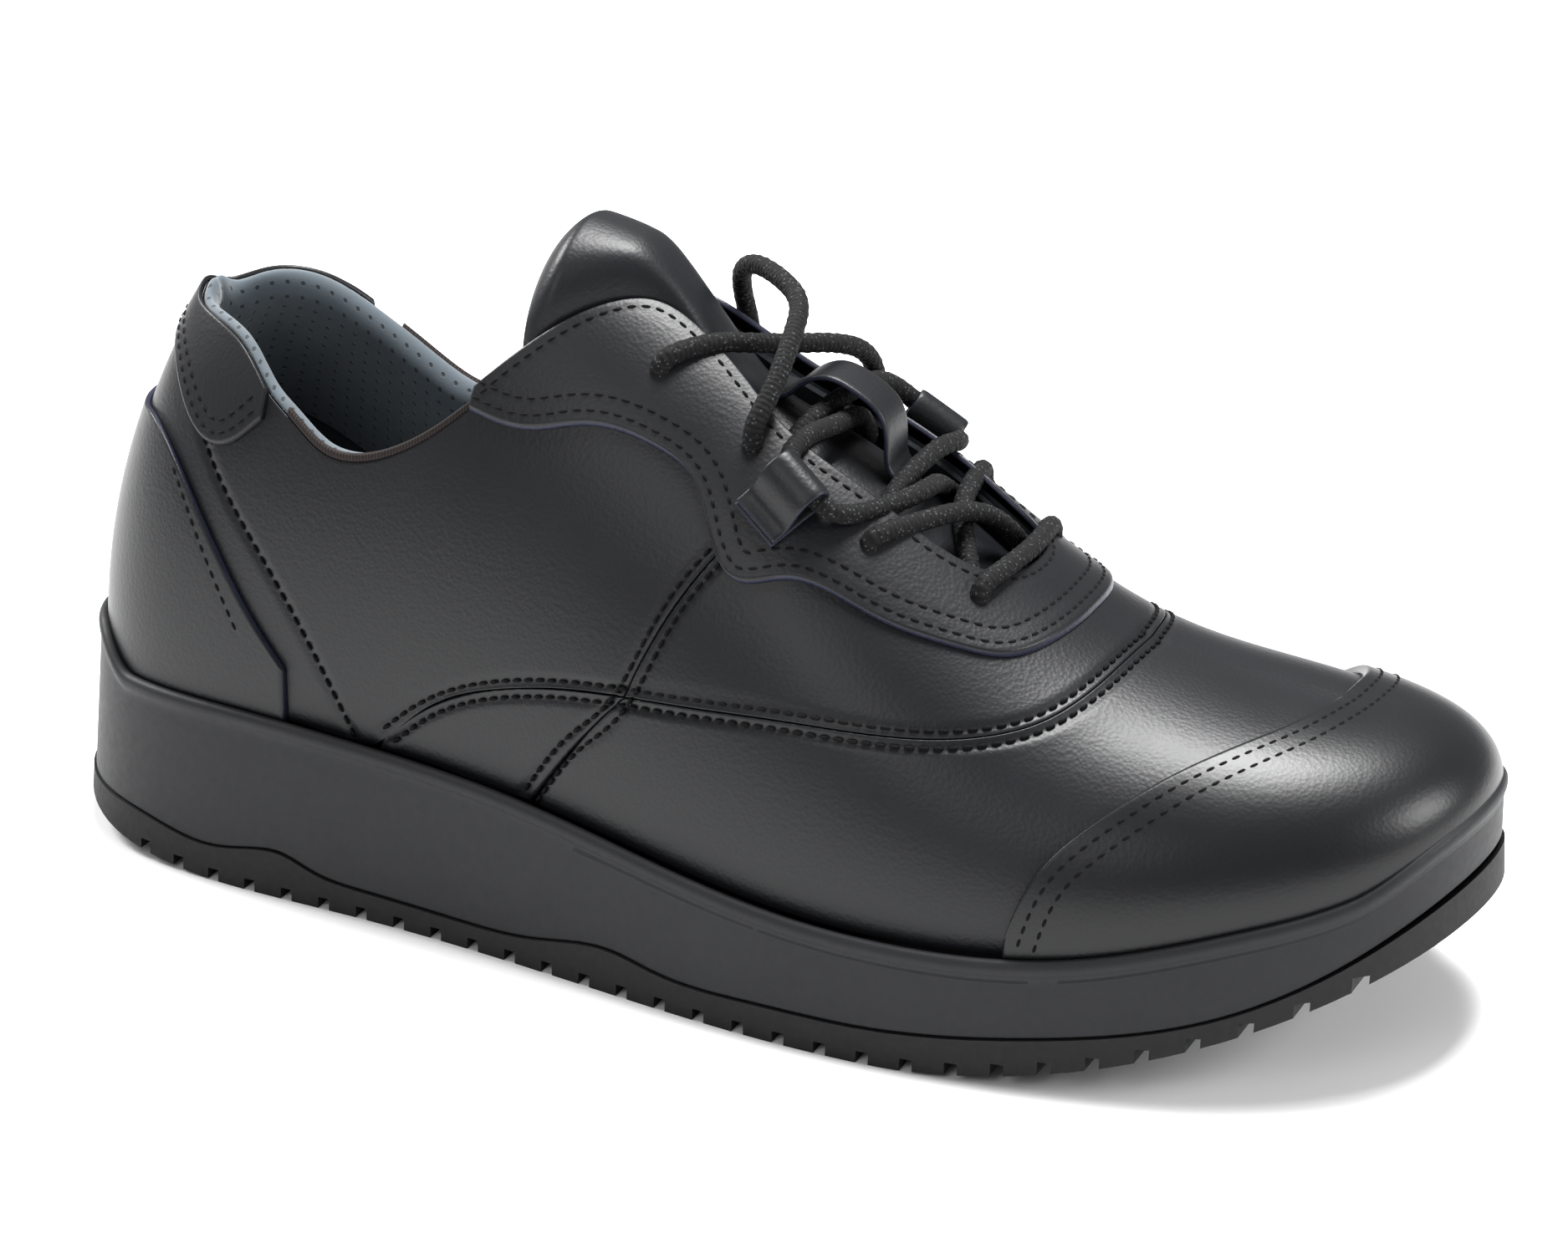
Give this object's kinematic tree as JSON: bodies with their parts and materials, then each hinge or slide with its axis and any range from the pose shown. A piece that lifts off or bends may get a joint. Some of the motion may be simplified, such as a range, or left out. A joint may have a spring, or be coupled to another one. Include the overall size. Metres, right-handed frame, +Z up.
{
  "type": "bowling shoe",
  "caption": "Low lace-up shoe for the right foot with layered leather upper, padded tongue and collar, and a thick cupped sole with a cross-ribbed rubber tread.",
  "frame": {"origin": "on the floor under the middle of the shoe's length and width", "axes": "+X to the toe, +Y to the inner (medial) side of this right shoe, +Z up"},
  "size_m": [0.3029, 0.116, 0.1424],
  "materials": {
    "black_leather": "fine grain, soft sheen",
    "toe_leather": "smooth grain, polished",
    "lining_suede": "perforated grey-blue microsuede",
    "binding_tape": "ribbed dark brown tape",
    "padding_foam": "open-cell foam",
    "stiffener_board": "resin-stiffened fibre",
    "outsole_rubber": "matt black rubber",
    "midsole_foam": "satin black moulded foam rubber",
    "shank_steel": "spring steel",
    "insole_fibre": "pressed fibreboard",
    "footbed_fabric": "brushed textile over foam",
    "lace_braid": "flat braid with light flecks",
    "aglet_plastic": "clear-coated black",
    "tongue_backing": "brown tricot"
  },
  "bodies": {
    "shoe": {"vamp": "black_leather", "saddle_panel": "black_leather", "quarter_lateral": "black_leather", "quarter_medial": "black_leather", "lower_quarter_lateral": "black_leather", "lower_quarter_medial": "black_leather", "toe_cap": "toe_leather", "eyestay": "black_leather", "eyestay_reinforcement": "stiffener_board", "heel_counter_cover": "black_leather", "collar_tab": "black_leather", "toe_puff": "stiffener_board", "heel_counter": "stiffener_board", "collar_foam": "padding_foam", "collar_lining": "lining_suede", "quarter_lining_lateral": "lining_suede", "quarter_lining_medial": "lining_suede", "vamp_lining": "lining_suede", "topline_binding_lateral": "binding_tape", "topline_binding_medial": "binding_tape", "lace_loop_lateral": "black_leather", "lace_loop_medial": "black_leather", "outsole": "outsole_rubber", "midsole": "midsole_foam", "shank": "shank_steel", "insole_board": "insole_fibre", "footbed": "footbed_fabric", "lace": "lace_braid", "aglet_lateral": "aglet_plastic", "aglet_medial": "aglet_plastic"},
    "tongue": {"tongue_outer": "black_leather", "tongue_foam": "padding_foam", "tongue_lining": "tongue_backing", "tongue_keeper": "black_leather"}
  },
  "joints": [
    {"name": "tongue_bend", "type": "hinge", "parent": "shoe", "child": "tongue", "pos_m": [0.062, 0.0015, 0.072], "axis": [0, -1, 0], "range_deg": [0, 1.5]}
  ]
}
